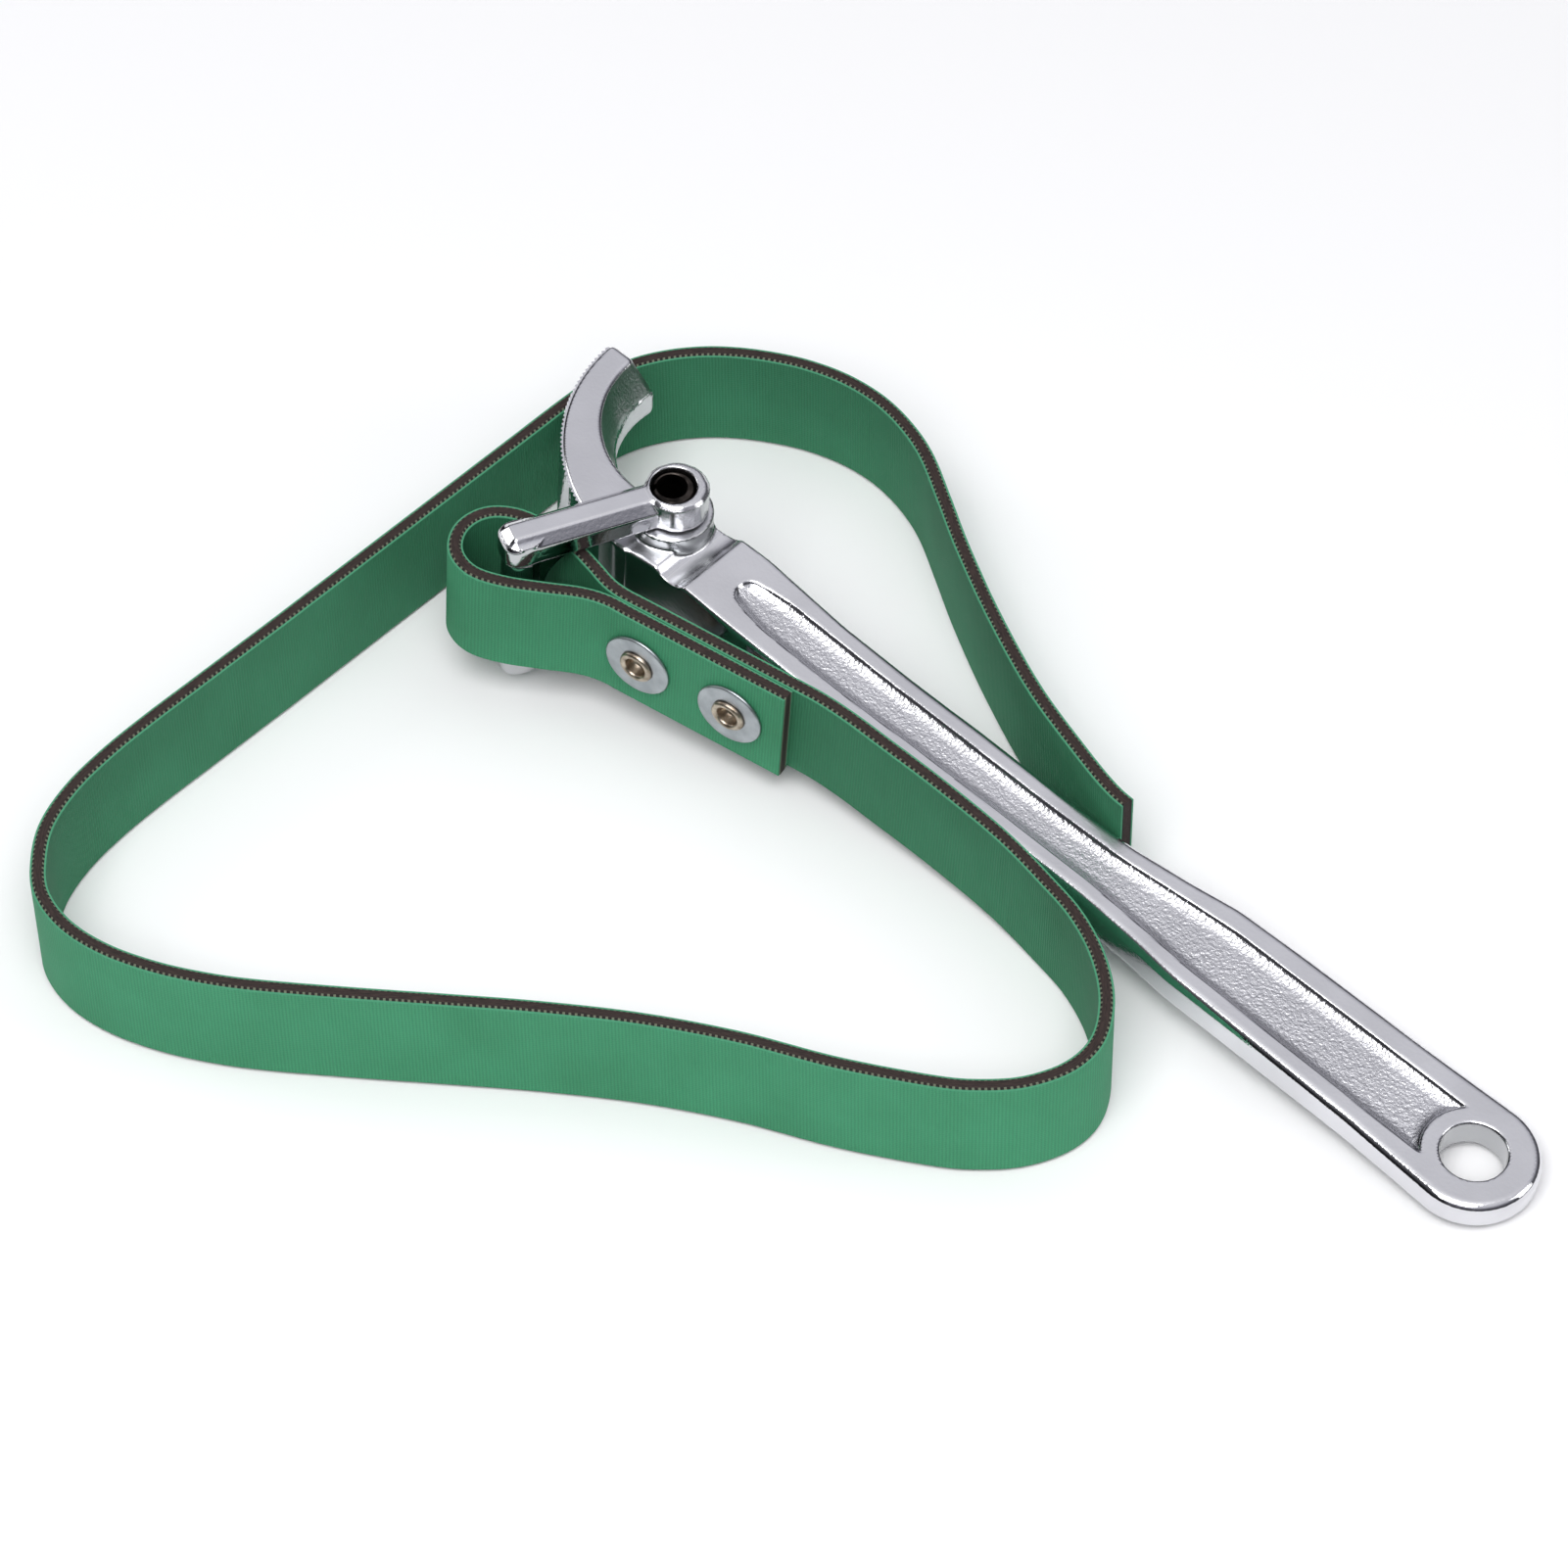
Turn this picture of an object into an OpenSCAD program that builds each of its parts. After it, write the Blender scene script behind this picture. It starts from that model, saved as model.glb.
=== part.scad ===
// Strap wrench for oil filters: a forged handle with a fixed hook, a swinging shackle
// on a slotted spring pin, and a laminated belt that is riveted round the shackle's bar.
// The wrench lies on a table. The handle slopes down from its tall head to its thin end,
// and the belt stands on its edge. Units are millimetres, +X runs along the handle,
// and z = 0 is the table.

/* [Handle] */
// Distance from the pivot pin to the hanging hole
hole_x = 212; // [190:1:240]
// Radius of the hanging hole
hole_r = 6.6; // [4:0.1:7]
// Radius of the handle's round end
end_r = 13.4; // [12.5:0.1:14]
// Thickness of the grip at its end
end_t = 6.8; // [5:0.1:8]
// Slope of the handle as it lies, in degrees
tilt = 4.8; // [4.6:0.1:5]
// Depth of the panel sunk into each face of the grip
panel_depth = 1.3; // [0.5:0.1:1.8]

/* [Head] */
// Radius of the pivot boss
boss_r = 8.5; // [7.5:0.1:9]
// Height of the pivot boss
boss_h = 28.9; // [28:0.1:29]
// Height of the hook
hook_h = 22; // [18:0.5:24]
// Radius of the hook's toothed outer face
hook_r = 37.3; // [35:0.1:37.5]
// Radius of the hook's hollow inner face
hook_inner_r = 24.7; // [22:0.1:25]

/* [Shackle] */
// Overall height of the shackle
shackle_h = 43.5; // [43:0.1:46]
// Thickness of each arm and eye
arm_t = 7; // [6:0.1:7]
// Width of each arm
arm_w = 8.4; // [6:0.1:9]
// Radius of each eye
eye_r = 6.9; // [6.5:0.1:7.5]
// Distance from the pin to the bar
bar_x = 33; // [30:0.5:34]
// Radius of the bar
bar_r = 4; // [3:0.1:4.5]

/* [Pivot pin] */
// Outer radius of the slotted spring pin
pin_r = 4.5; // [4:0.1:4.6]
// Wall of the slotted spring pin
pin_wall = 1.4; // [1:0.1:1.8]
// Width of the pin's slot
pin_slot = 1.8; // [1:0.1:2.5]
// Length of the pin
pin_l = 42; // [40:0.5:43]
// Radial running clearance between the pin and the handle's bore
pin_gap = 0.06; // [0.02:0.01:0.1]

/* [Belt] */
// Width of the belt
belt_w = 25; // [20:0.5:25.5]
// Thickness of the belt
belt_t = 3.2; // [2.4:0.1:3.2]
// Thickness of each green face ply
face_t = 0.6; // [0.3:0.1:0.8]
// How far each face ply stops short of the core's edges
face_inset = 0.3; // [0.1:0.1:0.5]

/* [Rivets] */
// Radius of each tubular rivet's shank
rivet_r = 2.6; // [2:0.1:3]
// Radius of the hole through each rivet
rivet_bore_r = 1.7; // [1:0.1:2]
// Radius of each rivet's rolled rim
rim_r = 3.7; // [3.2:0.1:4]
// Radius of each rivet's flat head
rivet_head_r = 5.2; // [4:0.1:6]
// Radius of each washer
washer_r = 7.5; // [6:0.1:8]
// Thickness of each washer and rivet head
washer_t = 0.9; // [0.5:0.1:1]

/* [Hidden] */
$fn = 96;

// The middle of the whole object in plan, seen from the pivot pin
middle = [89.5, -45.4];
pivot_z = shackle_h / 2 * cos(tilt) + eye_r * sin(tilt);
steel = "silver";
green = [0.13, 0.42, 0.27];
brown = [0.25, 0.18, 0.16];

// Grip outline, as [distance from the pin, near side, far side]
grip_sides = [[-3.5, -12.8, 1], [9, -11.4, 6.4], [21, -11.3, 7.4], [42, -11, 6.8],
    [56, -10.6, 7.3], [78, -9.5, 8], [100, -8.8, 8.1], [118, -8.8, 8.5], [133, -9.8, 10.4],
    [143, -10.9, 12.1], [160, -11.3, 12.6], [190, -12, 12.9], [201, -12.7, 13.2],
    [hole_x, -end_r, end_r]];
// Half thickness of the grip along its length
grip_halves = [[-3.5, 11], [9, 11], [16, 10.5], [25, 9.5], [60, 6.5], [100, 4.9],
    [150, 4.2], [hole_x - 13, end_t / 2], [hole_x + end_r + 1, end_t / 2]];
// Panel outline, as [distance from the pin, near side, far side]
panel_sides = [[25, -5.8, 1.4], [31, -6.6, 2.6], [48, -6.3, 3], [70, -5.2, 3.6],
    [100, -4.6, 3.9], [118, -4.7, 4.3], [133, -5.6, 5.8], [146, -6.6, 7], [190, -7.4, 7.3],
    [203, -7.6, 7.2]];
panel_tip = [23.5, -2.2, 3.2];
// Centres of the hook's outer and inner arcs, and the height of its tip in plan
hook_c = [-3.5, 24.5];
hook_inner_c = [-10.5, 25.8];
hook_tip_y = 24.5;
// Direction of the shackle's arms, in degrees
arm_dir = -114.3;
bar_at = bar_x * [cos(arm_dir), sin(arm_dir)];
gusset = 7;

// The belt's route, as points on its middle line. The first list starts at the folded
// end, passes round the shackle's bar and runs along the handle.
loop_route = [[48.5, -17.39], [40, -18.98], [32, -20.48], [24, -21.97], [16, -23.47],
    [11, -24.41], [6, -25.34], [1, -27.6], [-5, -31.9], [-12, -36.6], [-18.6, -39.2],
    [-24.6, -37.6], [-27.9, -32.4], [-27.2, -26.4], [-22.8, -22.2], [-15.5, -20.1],
    [-8, -19.9], [-2, -20.8], [3, -21.8], [7, -21.75], [11.5, -20.91], [16, -20.07],
    [24, -18.57], [32, -17.08], [40, -15.58], [48.5, -14], [54, -13.1], [61, -12.6],
    [70, -12.5], [83, -12.4], [97, -12.8], [106, -13.6], [115, -15.1]];
front_route = [[115, -15.1], [125, -17.6], [135, -22.4], [143.6, -29.4], [149, -38],
    [149.5, -46.4], [145.8, -55], [139.8, -61.6], [132.4, -67], [116, -76], [98, -84],
    [81, -93.4], [65, -104.2], [50, -115.4], [35, -126.8], [20, -137.8], [11, -143.4],
    [2, -147.8], [-8, -151], [-18, -151.8], [-27, -149.4], [-33.2, -144.4]];
back_route = [[-33.4, -144.2], [-39, -136.8], [-42.4, -127], [-43.9, -116], [-44.3, -104],
    [-44.2, -92], [-44.1, -80], [-44, -68], [-44, -60.2]];
tail_route = [[-44, -60], [-44, -44], [-44, -30], [-44, -15], [-44, 0], [-44, 15],
    [-43.6, 25], [-41.7, 32.5], [-38.2, 39.5], [-33.6, 45.6], [-28, 50.8],
    [-21.5, 55.2], [-14.5, 58.6], [-6, 60.6], [3.6, 60.8], [13, 58.9], [22, 55],
    [33, 48.2], [45, 40.6], [62, 31], [81, 21.4], [99, 14.7], [109, 11.5], [114.3, 10.6]];
// Round line through the riveted stack: a point on it, and its direction in degrees
stack_at = [30, -20.85];
stack_dir = 10.6;
stack_gap = 3.34;
// Gap between one length of belt and the round end of the next
flex_gap = 0.3;
rivet_places = [-15.2, 6.8];
// Clearance under each washer
washer_gap = 0.05;

// A point between b and c on the smooth curve through a, b, c and d
function blend_point(a, b, c, d, t) = 0.5 * (2 * b + (c - a) * t
    + (2 * a - 5 * b + 4 * c - d) * t * t + (3 * b - a - 3 * c + d) * t * t * t);
// The smooth curve through a route's points, with n steps between neighbours
function smooth(r, n) = [for (i = [0 : len(r) - 2]) for (k = [0 : n - 1])
    blend_point(r[max(i - 1, 0)], r[i], r[i + 1], r[min(i + 2, len(r) - 1)], k / n),
    r[len(r) - 1]];
function unit(v) = v / norm(v);
function left_of(v) = [-v[1], v[0]];
function heading(p, i) = unit(p[min(i + 1, len(p) - 1)] - p[max(i - 1, 0)]);
// A curve moved sideways by d, to the left of its direction
function beside(p, d) = [for (i = [0 : len(p) - 1]) p[i] + d * left_of(heading(p, i))];
function reversed(p) = [for (i = [len(p) - 1 : -1 : 0]) p[i]];

// Moves a level shape, drawn from the pivot pin, to its place on the table
module on_table() {
    translate([-middle[0], -middle[1], 0]) children();
}
// Moves a shape, drawn from the middle of the pivot pin, to its place in the sloping head
module on_head() {
    on_table() translate([0, 0, pivot_z]) rotate([0, tilt, 0]) children();
}
module slab(h) {
    translate([0, 0, -h / 2]) linear_extrude(h) children();
}

module grip_outline(sides) {
    polygon(concat([for (s = sides) [s[0], s[1]]], reversed([for (s = sides) [s[0], s[2]]])));
}
module grip_body() {
    intersection() {
        slab(2 * boss_h) {
            grip_outline(grip_sides);
            translate([hole_x, 0]) circle(end_r);
        }
        rotate([90, 0, 0]) slab(4 * end_r)
            polygon(concat([for (s = grip_halves) [s[0], s[1]]],
                reversed([for (s = grip_halves) [s[0], -s[1]]])));
    }
}
module hook() {
    slab(hook_h) difference() {
        translate(hook_c) circle(hook_r);
        translate(hook_inner_c) circle(hook_inner_r);
        translate([-3.4, -50]) square([100, 150]);
        translate([-100, hook_tip_y]) square([200, 100]);
    }
}
// The space above one face's panel. It follows that face's slope.
module panel_cut() {
    intersection() {
        slab(2 * boss_h) difference() {
            union() {
                grip_outline(panel_sides);
                translate([panel_tip[0] + 2, panel_tip[1]]) circle(panel_tip[2] + 0.4);
            }
            translate([hole_x, 0]) circle(hole_r + 3.6);
        }
        rotate([90, 0, 0]) slab(4 * end_r)
            polygon(concat([for (s = grip_halves) [s[0], s[1] - panel_depth]],
                [[hole_x, boss_h], [-3.5, boss_h]]));
    }
}
module handle() {
    color(steel) on_head() difference() {
        union() {
            grip_body();
            hook();
            cylinder(h = boss_h, r = boss_r, center = true);
        }
        panel_cut();
        mirror([0, 0, 1]) panel_cut();
        cylinder(h = 2 * boss_h, r = pin_r + pin_gap, center = true);
        translate([hole_x, 0, 0]) cylinder(h = 4 * end_t, r = hole_r, center = true);
    }
}

// One arm of the shackle with its eye, above the boss
module shackle_arm() {
    translate([0, 0, shackle_h / 2 - arm_t]) {
        cylinder(h = arm_t, r = eye_r);
        translate([0, -arm_w / 2, 0]) cube([bar_x, arm_w, arm_t]);
        translate([bar_x, 0, 0]) cylinder(h = arm_t, r = arm_w / 2);
    }
}
// The fillet between one arm and the bar, on the pin's side
module shackle_gusset() {
    inner_h = shackle_h / 2 - arm_t;
    translate([bar_x, 0, 0]) rotate([90, 0, 0]) slab(2 * bar_r * 0.8) difference() {
        translate([-bar_r - gusset, inner_h - gusset]) square([bar_r + gusset, gusset + 0.5]);
        translate([-bar_r - gusset, inner_h - gusset]) circle(gusset);
    }
}
module shackle() {
    color(steel) on_head() rotate([0, 0, arm_dir]) difference() {
        union() {
            for (side = [0, 1]) mirror([0, 0, side]) {
                shackle_arm();
                shackle_gusset();
            }
            translate([bar_x, 0, 0]) cylinder(h = shackle_h - arm_t, r = bar_r, center = true);
        }
        cylinder(h = 2 * shackle_h, r = pin_r, center = true);
    }
}
module pivot_pin() {
    color("dimgray") on_head() difference() {
        cylinder(h = pin_l, r = pin_r, center = true);
        cylinder(h = 2 * pin_l, r = pin_r - pin_wall, center = true);
        rotate([0, 0, 225]) translate([0, -pin_slot / 2, -pin_l])
            cube([2 * pin_r, pin_slot, 2 * pin_l]);
    }
}

// One ply of a belt along a route, between two distances from its middle line
module ply(route, from, to, h) {
    p = smooth(route, 3);
    slab(h) polygon(concat(beside(p, from), reversed(beside(p, to))));
}
module core_ply(route) {
    color(brown) ply(route, face_t - belt_t / 2, belt_t / 2 - face_t, belt_w);
}
module outer_ply(route) {
    color(green) ply(route, belt_t / 2 - face_t, belt_t / 2, belt_w - 2 * face_inset);
}
module inner_ply(route) {
    color(green) ply(route, -belt_t / 2, face_t - belt_t / 2, belt_w - 2 * face_inset);
}
module standing() {
    on_table() translate([0, 0, belt_w / 2]) children();
}
// The round end on which one length of belt flexes against the next
module knuckle(at, r, h) {
    translate([at[0], at[1], 0]) cylinder(h = h, r = r, center = true);
}
module between_knuckles(own, next) {
    difference() {
        children();
        knuckle(own, belt_t / 2, 2 * belt_w);
        knuckle(next, belt_t / 2 + flex_gap, 2 * belt_w);
    }
}

// Puts a shape, drawn along +Z from the near face of the riveted stack, at one rivet
module at_rivet(i) {
    along = [cos(stack_dir), sin(stack_dir)];
    foot = stack_at + rivet_places[i] * along - belt_t / 2 * left_of(along);
    on_head() translate([foot[0], foot[1], 0]) rotate([-90, 0, stack_dir]) children();
}
stack_t = belt_t + stack_gap;
// Distances of the rivet's rim and head from the stack's near face
rim_z = 2 * washer_t + washer_gap;
head_z = stack_t + washer_gap + washer_t;
module rivet_holes() {
    for (i = [0, 1]) at_rivet(i) translate([0, 0, -belt_t]) cylinder(h = 4 * belt_t, r = rivet_r);
}
module loop_core() {
    difference() {
        on_head() core_ply(loop_route);
        rivet_holes();
        standing() knuckle(front_route[0], belt_t / 2 + flex_gap, 2 * belt_w);
    }
}
module loop_outer_face() {
    difference() {
        on_head() outer_ply(loop_route);
        rivet_holes();
        standing() knuckle(front_route[0], belt_t / 2 + flex_gap, 2 * belt_w);
    }
}
module loop_inner_face() {
    difference() {
        on_head() inner_ply(loop_route);
        rivet_holes();
        standing() knuckle(front_route[0], belt_t / 2 + flex_gap, 2 * belt_w);
    }
}
module front_core() {
    color(brown) standing() difference() {
        union() {
            core_ply(front_route);
            knuckle(front_route[0], belt_t / 2, belt_w);
        }
        knuckle(back_route[0], belt_t / 2 + flex_gap, 2 * belt_w);
    }
}
module front_outer_face() {
    standing() between_knuckles(front_route[0], back_route[0]) outer_ply(front_route);
}
module front_inner_face() {
    standing() between_knuckles(front_route[0], back_route[0]) inner_ply(front_route);
}
module back_core() {
    color(brown) standing() difference() {
        union() {
            core_ply(back_route);
            knuckle(back_route[0], belt_t / 2, belt_w);
        }
        knuckle(tail_route[0], belt_t / 2 + flex_gap, 2 * belt_w);
    }
}
module back_outer_face() {
    standing() between_knuckles(back_route[0], tail_route[0]) outer_ply(back_route);
}
module back_inner_face() {
    standing() between_knuckles(back_route[0], tail_route[0]) inner_ply(back_route);
}
module tail_core() {
    color(brown) standing() union() {
        core_ply(tail_route);
        knuckle(tail_route[0], belt_t / 2, belt_w);
    }
}
module tail_outer_face() {
    standing() difference() {
        outer_ply(tail_route);
        knuckle(tail_route[0], belt_t / 2, 2 * belt_w);
    }
}
module tail_inner_face() {
    standing() difference() {
        inner_ply(tail_route);
        knuckle(tail_route[0], belt_t / 2, 2 * belt_w);
    }
}

// A washer between two heights above the stack's near face
module washer(i, z) {
    color("lightgray") at_rivet(i) translate([0, 0, z]) difference() {
        cylinder(h = washer_t, r = washer_r);
        translate([0, 0, -washer_t]) cylinder(h = 3 * washer_t, r = rivet_r);
    }
}
module rivet(i) {
    color("tan") at_rivet(i) difference() {
        union() {
            translate([0, 0, -rim_z]) cylinder(h = rim_z + head_z, r = rivet_r);
            translate([0, 0, -rim_z]) cylinder(h = washer_t, r = rim_r);
            translate([0, 0, head_z]) cylinder(h = washer_t, r = rivet_head_r);
        }
        translate([0, 0, -2 * rim_z]) cylinder(h = stack_t + 2 * rim_z, r = rivet_bore_r);
    }
}
module rivet_1() {
    rivet(0);
}
module rivet_2() {
    rivet(1);
}
module front_washer_1() {
    washer(0, -washer_t - washer_gap);
}
module front_washer_2() {
    washer(1, -washer_t - washer_gap);
}
module back_washer_1() {
    washer(0, stack_t + washer_gap);
}
module back_washer_2() {
    washer(1, stack_t + washer_gap);
}

handle();
shackle();
pivot_pin();
loop_core();
loop_outer_face();
loop_inner_face();
front_core();
front_outer_face();
front_inner_face();
back_core();
back_outer_face();
back_inner_face();
tail_core();
tail_outer_face();
tail_inner_face();
rivet_1();
rivet_2();
front_washer_1();
front_washer_2();
back_washer_1();
back_washer_2();
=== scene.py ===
"""Looks of the strap wrench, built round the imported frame.

The forgings are modelled as distance fields in the wrench's own sloping frame, in
millimetres from the middle of the pivot pin, and then laid in the row frame in metres.
The belt is a laminated strip that follows the CAD model's route to within 2 mm.
"""
import math

import bpy
import numpy as np
from mathutils import Matrix, Vector


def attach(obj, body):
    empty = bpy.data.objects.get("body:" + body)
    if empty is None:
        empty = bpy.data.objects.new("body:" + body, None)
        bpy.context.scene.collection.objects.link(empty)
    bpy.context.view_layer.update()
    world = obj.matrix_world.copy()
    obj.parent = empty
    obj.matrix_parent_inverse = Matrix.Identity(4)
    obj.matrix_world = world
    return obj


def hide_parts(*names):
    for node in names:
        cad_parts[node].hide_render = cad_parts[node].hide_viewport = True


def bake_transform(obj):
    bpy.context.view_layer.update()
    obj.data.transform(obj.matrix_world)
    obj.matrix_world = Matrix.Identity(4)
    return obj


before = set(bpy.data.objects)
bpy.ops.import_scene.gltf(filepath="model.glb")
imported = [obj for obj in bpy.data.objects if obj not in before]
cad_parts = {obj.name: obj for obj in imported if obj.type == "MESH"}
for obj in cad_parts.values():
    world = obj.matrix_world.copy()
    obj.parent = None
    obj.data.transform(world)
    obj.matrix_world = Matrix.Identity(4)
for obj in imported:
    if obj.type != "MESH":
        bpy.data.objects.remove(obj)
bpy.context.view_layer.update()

MM = 0.001
TILT = math.radians(4.8)
SHACKLE_H = 43.5
EYE_R = 6.9
PIVOT_Z = SHACKLE_H / 2 * math.cos(TILT) + EYE_R * math.sin(TILT)
MIDDLE = np.array([89.5, -45.4])
ARM_DIR = math.radians(-114.3)

# ---------------------------------------------------------------- camera and stage

TARGET = Vector((46.3 - MIDDLE[0], -15.9 - MIDDLE[1], 0)) * MM
EYE = Vector((627 - MIDDLE[0], -627 - MIDDLE[1], 976)) * MM
ROLL = math.radians(-0.9)
LENS = 146.2
# The floor's half width, and how far it lies below the row frame's zero
FLOOR_REACH = 4.0
FLOOR_DROP = 0.0004


def add_camera():
    cam = bpy.data.cameras.new("camera")
    cam.lens = LENS
    cam.sensor_width = 36
    cam.clip_start = 0.05
    cam.clip_end = 20
    obj = bpy.data.objects.new("camera", cam)
    bpy.context.scene.collection.objects.link(obj)
    forward = (TARGET - EYE).normalized()
    turn = forward.to_track_quat("-Z", "Y").to_matrix() @ Matrix.Rotation(ROLL, 3, "Z")
    obj.matrix_world = Matrix.Translation(EYE) @ turn.to_4x4()
    bpy.context.scene.camera = obj


def add_floor():
    mesh = bpy.data.meshes.new("floor")
    s = FLOOR_REACH
    mesh.from_pydata([(-s, -s, 0), (s, -s, 0), (s, s, 0), (-s, s, 0)], [], [(0, 1, 2, 3)])
    floor = bpy.data.objects.new("floor", mesh)
    floor.location.z = -FLOOR_DROP
    bpy.context.scene.collection.objects.link(floor)
    mat, _, bsdf = new_material("floor_white")
    bsdf.inputs["Base Color"].default_value = (0.9, 0.9, 0.9, 1)
    bsdf.inputs["Roughness"].default_value = 0.9
    mesh.materials.append(mat)


def add_light(name, place, size, power):
    """A rectangular area light that faces the frame's origin."""
    light = bpy.data.lights.new(name, "AREA")
    light.shape = "RECTANGLE"
    light.size, light.size_y = size
    light.energy = power
    obj = bpy.data.objects.new(name, light)
    bpy.context.scene.collection.objects.link(obj)
    obj.location = place
    obj.rotation_euler = (-Vector(place)).to_track_quat("-Z", "Y").to_euler()


def add_lights():
    world = bpy.data.worlds.new("studio")
    bpy.context.scene.world = world
    world.use_nodes = True
    tree = world.node_tree
    background = tree.nodes["Background"]
    background.inputs["Strength"].default_value = 1.0
    coord = tree.nodes.new("ShaderNodeTexCoord")
    split = tree.nodes.new("ShaderNodeSeparateXYZ")
    tree.links.new(coord.outputs["Generated"], split.inputs[0])
    sky = ramp_node(tree, split.outputs["Z"], [
        (0.0, (0.12, 0.12, 0.13)), (0.28, (0.05, 0.05, 0.06)), (0.5, (0.24, 0.24, 0.27)),
        (0.7, (0.64, 0.64, 0.69)), (1.0, (0.85, 0.85, 0.87))])
    # The world is darker to the left of the camera, as if a dark card stood there
    lean = tree.nodes.new("ShaderNodeVectorMath")
    lean.operation = "DOT_PRODUCT"
    lean.inputs[1].default_value = (-0.75, -0.66, 0)
    tree.links.new(coord.outputs["Generated"], lean.inputs[0])
    card = ramp_node(tree, lean.outputs["Value"], [(0.38, (1.0,)), (0.56, (0.16,))])
    lit = tree.nodes.new("ShaderNodeMixRGB")
    lit.blend_type = "MULTIPLY"
    lit.inputs["Fac"].default_value = 1
    tree.links.new(sky.outputs["Color"], lit.inputs["Color1"])
    tree.links.new(card.outputs["Color"], lit.inputs["Color2"])
    tree.links.new(lit.outputs["Color"], background.inputs["Color"])
    add_light("top", (0.35, -0.6, 1.3), (1.1, 1.0), 18)
    add_light("left", (-1.2, -0.4, 0.7), (0.5, 0.9), 3)
    add_light("right", (1.1, 0.7, 0.6), (0.5, 0.9), 3)
    bpy.context.scene.view_settings.view_transform = "Standard"


# ---------------------------------------------------------------- materials

# Painted shade: the dark tone mixed into the chrome on steep recess walls, and how much rougher a
# satin face is than a bright edge
PAINTED_SHADE_TONE = (0.2, 0.215, 0.21, 1)
SATIN = 0.26


def new_material(name):
    mat = bpy.data.materials.new(name)
    mat.use_nodes = True
    return mat, mat.node_tree, mat.node_tree.nodes["Principled BSDF"]


def noise_node(tree, scale, detail, source):
    node = tree.nodes.new("ShaderNodeTexNoise")
    node.inputs["Scale"].default_value = scale
    node.inputs["Detail"].default_value = detail
    tree.links.new(source, node.inputs["Vector"])
    return node


def ramp_node(tree, source, stops):
    """A colour ramp. Each stop is a place and a colour, or one grey value."""
    node = tree.nodes.new("ShaderNodeValToRGB")
    while len(node.color_ramp.elements) < len(stops):
        node.color_ramp.elements.new(0.5)
    for element, (place, value) in zip(node.color_ramp.elements, stops):
        element.position = place
        element.color = (*value, 1) if len(value) == 3 else (*value * 3, 1)
    tree.links.new(source, node.inputs["Fac"])
    return node


def bump_node(tree, height, distance, after=None):
    node = tree.nodes.new("ShaderNodeBump")
    node.inputs["Distance"].default_value = distance
    node.inputs["Strength"].default_value = 1
    tree.links.new(height, node.inputs["Height"])
    if after:
        tree.links.new(after.outputs["Normal"], node.inputs["Normal"])
    return node


def chrome(name, tone, rough):
    """Chrome plate over a forging: duller flat faces, fine pits, a rough panel, and painted
    shade: a darker base colour on the steep walls of the recesses."""
    mat, tree, bsdf = new_material(name)
    coord = tree.nodes.new("ShaderNodeTexCoord").outputs["Object"]
    bsdf.inputs["Metallic"].default_value = 1.0
    tint = noise_node(tree, 60, 3, coord)
    dark = tuple(0.88 * t for t in tone)
    shade = ramp_node(tree, tint.outputs["Fac"], [(0.3, dark), (0.7, tone)])
    # Painted shade: the base colour is mixed toward the dark tone where the mesh's third mark is
    # set
    painted_shade = tree.nodes.new("ShaderNodeAttribute")
    painted_shade.attribute_name = "painted_shade"
    shade_mix = tree.nodes.new("ShaderNodeMixRGB")
    shade_mix.inputs["Color2"].default_value = PAINTED_SHADE_TONE
    tree.links.new(painted_shade.outputs["Fac"], shade_mix.inputs["Fac"])
    tree.links.new(shade.outputs["Color"], shade_mix.inputs["Color1"])
    tree.links.new(shade_mix.outputs["Color"], bsdf.inputs["Base Color"])
    dull = tree.nodes.new("ShaderNodeAttribute")
    dull.attribute_name = "dull"
    spread = tree.nodes.new("ShaderNodeMath")
    spread.operation = "MULTIPLY_ADD"
    spread.inputs[1].default_value = SATIN
    spread.inputs[2].default_value = rough
    tree.links.new(dull.outputs["Fac"], spread.inputs[0])
    tree.links.new(spread.outputs[0], bsdf.inputs["Roughness"])
    cast = tree.nodes.new("ShaderNodeAttribute")
    cast.attribute_name = "cast"
    pebbles = noise_node(tree, 1500, 3, coord)
    rough_floor = tree.nodes.new("ShaderNodeMath")
    rough_floor.operation = "MULTIPLY"
    tree.links.new(pebbles.outputs["Fac"], rough_floor.inputs[0])
    tree.links.new(cast.outputs["Fac"], rough_floor.inputs[1])
    wave = noise_node(tree, 110, 1, coord)
    soft = bump_node(tree, wave.outputs["Fac"], 0.00006)
    pits = noise_node(tree, 1300, 3, coord)
    fine = bump_node(tree, pits.outputs["Fac"], 0.00003, after=soft)
    grain = bump_node(tree, rough_floor.outputs[0], 0.0003, after=fine)
    tree.links.new(grain.outputs["Normal"], bsdf.inputs["Normal"])
    return mat


# ---------------------------------------------------------------- distance fields


def smooth_table(rows, step=0.5, blur=4.0):
    """The columns of a table against its first column, resampled and rounded off."""
    rows = np.array(rows, float)
    x = np.arange(rows[0, 0], rows[-1, 0] + step, step)
    n = max(1, int(blur / step))
    kernel = np.hanning(2 * n + 1)
    kernel /= kernel.sum()
    out = [x]
    for column in rows[:, 1:].T:
        y = np.interp(x, rows[:, 0], column)
        padded = np.concatenate([2 * y[0] - y[n:0:-1], y, 2 * y[-1] - y[-2:-n - 2:-1]])
        out.append(np.convolve(padded, kernel, "valid"))
    return np.array(out)


def soft_max(a, b, k):
    """The larger of two fields, rounded where they cross over a width of k."""
    h = np.maximum(k - np.abs(a - b), 0) / k
    return np.maximum(a, b) + h * h * k / 4


def soft_min(a, b, k):
    """The smaller of two fields, rounded in the same way."""
    return -soft_max(-a, -b, k)


def round_cross(a, b, r):
    """Two fields crossed, with the outer corner rounded to radius r."""
    outer = np.hypot(np.maximum(a + r, 0), np.maximum(b + r, 0))
    return outer + np.minimum(np.maximum(a + r, b + r), 0) - r


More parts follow.
